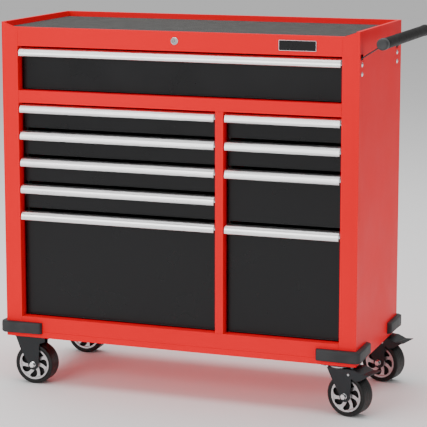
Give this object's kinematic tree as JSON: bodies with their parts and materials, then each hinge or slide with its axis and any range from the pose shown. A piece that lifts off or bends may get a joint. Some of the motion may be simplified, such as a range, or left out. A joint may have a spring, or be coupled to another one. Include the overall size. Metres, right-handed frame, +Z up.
{
  "type": "rolling tool chest",
  "caption": "Wide red rolling tool chest: rubber-lined top, black drawers with full-width aluminium pulls in two columns, side push handle, rigid and braked swivel casters.",
  "frame": {"origin": "on the floor, under the middle of the whole outline", "axes": "the drawers face -Y, +X towards the push handle, +Z up"},
  "size_m": [1.1644, 0.508, 1.0739],
  "materials": {
    "red_powder_coat": "gloss powder coat",
    "black_gloss_paint": "gloss powder coat",
    "zinc_plated_steel": "zinc plated",
    "satin_aluminium": "satin anodised",
    "dark_grey_rubber": "matt",
    "ribbed_rubber_mat": "matt, ribbed",
    "black_pressed_steel": "satin powder coat",
    "black_tyre": "satin",
    "chrome": "polished"
  },
  "bodies": {
    "cabinet": {"side_panel_left": "red_powder_coat", "side_panel_right": "red_powder_coat", "back_panel": "red_powder_coat", "top_tray": "red_powder_coat", "top_mat": "ribbed_rubber_mat", "front_top_rail": "red_powder_coat", "cross_rail": "red_powder_coat", "center_divider": "red_powder_coat", "bottom_rail": "red_powder_coat", "base_pan": "red_powder_coat", "corner_bumper_fl": "dark_grey_rubber", "corner_bumper_fr": "dark_grey_rubber", "corner_bumper_rl": "dark_grey_rubber", "corner_bumper_rr": "dark_grey_rubber", "badge_plate": "black_gloss_paint", "lock_housing": "chrome", "handle_bracket_front": "black_pressed_steel", "handle_bracket_rear": "black_pressed_steel", "handle_grip": "dark_grey_rubber", "slide_rack_left": "zinc_plated_steel", "slide_rack_center_left": "zinc_plated_steel", "slide_rack_center_right": "zinc_plated_steel", "slide_rack_right": "zinc_plated_steel", "rigid_fork_fl": "black_pressed_steel", "rigid_fork_rl": "black_pressed_steel", "axle_bolt_fl": "chrome", "axle_bolt_rl": "chrome", "swivel_plate_fr": "black_pressed_steel", "swivel_plate_rr": "black_pressed_steel"},
    "lock_core": {"lock_cylinder": "chrome"},
    "drawer_top_body": {"drawer_top": "black_gloss_paint", "drawer_top_pull": "satin_aluminium"},
    "drawer_l1_body": {"drawer_l1": "black_gloss_paint", "drawer_l1_pull": "satin_aluminium"},
    "drawer_l2_body": {"drawer_l2": "black_gloss_paint", "drawer_l2_pull": "satin_aluminium"},
    "drawer_l3_body": {"drawer_l3": "black_gloss_paint", "drawer_l3_pull": "satin_aluminium"},
    "drawer_l4_body": {"drawer_l4": "black_gloss_paint", "drawer_l4_pull": "satin_aluminium"},
    "drawer_l5_body": {"drawer_l5": "black_gloss_paint", "drawer_l5_pull": "satin_aluminium"},
    "drawer_r1_body": {"drawer_r1": "black_gloss_paint", "drawer_r1_pull": "satin_aluminium"},
    "drawer_r2_body": {"drawer_r2": "black_gloss_paint", "drawer_r2_pull": "satin_aluminium"},
    "drawer_r3_body": {"drawer_r3": "black_gloss_paint", "drawer_r3_pull": "satin_aluminium"},
    "drawer_r4_body": {"drawer_r4": "black_gloss_paint", "drawer_r4_pull": "satin_aluminium"},
    "swivel_fr": {"swivel_fork_fr": "black_pressed_steel", "axle_bolt_fr": "chrome"},
    "pedal_fr": {"brake_pedal_fr": "black_pressed_steel"},
    "wheel_body_fr": {"wheel_fr": "black_tyre"},
    "swivel_rr": {"swivel_fork_rr": "black_pressed_steel", "axle_bolt_rr": "chrome"},
    "pedal_rr": {"brake_pedal_rr": "black_pressed_steel"},
    "wheel_body_rr": {"wheel_rr": "black_tyre"},
    "wheel_body_fl": {"wheel_fl": "black_tyre"},
    "wheel_body_rl": {"wheel_rl": "black_tyre"}
  },
  "joints": [
    {"name": "drawer_top_slide", "type": "slide", "parent": "cabinet", "child": "drawer_top_body", "axis": [0, -1, 0], "range_m": [0, 0.36]},
    {"name": "drawer_l1_slide", "type": "slide", "parent": "cabinet", "child": "drawer_l1_body", "axis": [0, -1, 0], "range_m": [0, 0.36]},
    {"name": "drawer_l2_slide", "type": "slide", "parent": "cabinet", "child": "drawer_l2_body", "axis": [0, -1, 0], "range_m": [0, 0.36]},
    {"name": "drawer_l3_slide", "type": "slide", "parent": "cabinet", "child": "drawer_l3_body", "axis": [0, -1, 0], "range_m": [0, 0.36]},
    {"name": "drawer_l4_slide", "type": "slide", "parent": "cabinet", "child": "drawer_l4_body", "axis": [0, -1, 0], "range_m": [0, 0.36]},
    {"name": "drawer_l5_slide", "type": "slide", "parent": "cabinet", "child": "drawer_l5_body", "axis": [0, -1, 0], "range_m": [0, 0.36]},
    {"name": "drawer_r1_slide", "type": "slide", "parent": "cabinet", "child": "drawer_r1_body", "axis": [0, -1, 0], "range_m": [0, 0.36]},
    {"name": "drawer_r2_slide", "type": "slide", "parent": "cabinet", "child": "drawer_r2_body", "axis": [0, -1, 0], "range_m": [0, 0.36]},
    {"name": "drawer_r3_slide", "type": "slide", "parent": "cabinet", "child": "drawer_r3_body", "axis": [0, -1, 0], "range_m": [0, 0.36]},
    {"name": "drawer_r4_slide", "type": "slide", "parent": "cabinet", "child": "drawer_r4_body", "axis": [0, -1, 0], "range_m": [0, 0.36]},
    {"name": "lock_turn", "type": "hinge", "parent": "cabinet", "child": "lock_core", "pos_m": [-0.03475, -0.229, 1.0335], "axis": [0, -1, 0], "range_deg": [0, 90]},
    {"name": "swivel_turn_fr", "type": "hinge", "parent": "cabinet", "child": "swivel_fr", "pos_m": [0.44375, -0.187, 0.1364], "axis": [0, 0, 1], "continuous": true},
    {"name": "wheel_spin_fr", "type": "hinge", "parent": "swivel_fr", "child": "wheel_body_fr", "pos_m": [0.47369, -0.19502, 0.06], "axis": [0.2588, 0.9659, 0], "continuous": true},
    {"name": "brake_press_fr", "type": "hinge", "parent": "swivel_fr", "child": "pedal_fr", "pos_m": [0.48625, -0.19839, 0.124], "axis": [0.2588, 0.9659, 0], "range_deg": [0, 7]},
    {"name": "swivel_turn_rr", "type": "hinge", "parent": "cabinet", "child": "swivel_rr", "pos_m": [0.44375, 0.187, 0.1364], "axis": [0, 0, 1], "continuous": true},
    {"name": "wheel_spin_rr", "type": "hinge", "parent": "swivel_rr", "child": "wheel_body_rr", "pos_m": [0.47369, 0.17898, 0.06], "axis": [0.2588, 0.9659, 0], "continuous": true},
    {"name": "brake_press_rr", "type": "hinge", "parent": "swivel_rr", "child": "pedal_rr", "pos_m": [0.48625, 0.17561, 0.124], "axis": [0.2588, 0.9659, 0], "range_deg": [0, 7]},
    {"name": "wheel_spin_fl", "type": "hinge", "parent": "cabinet", "child": "wheel_body_fl", "pos_m": [-0.49125, -0.187, 0.06], "axis": [0, 1, 0], "continuous": true},
    {"name": "wheel_spin_rl", "type": "hinge", "parent": "cabinet", "child": "wheel_body_rl", "pos_m": [-0.49125, 0.187, 0.06], "axis": [0, 1, 0], "continuous": true}
  ]
}
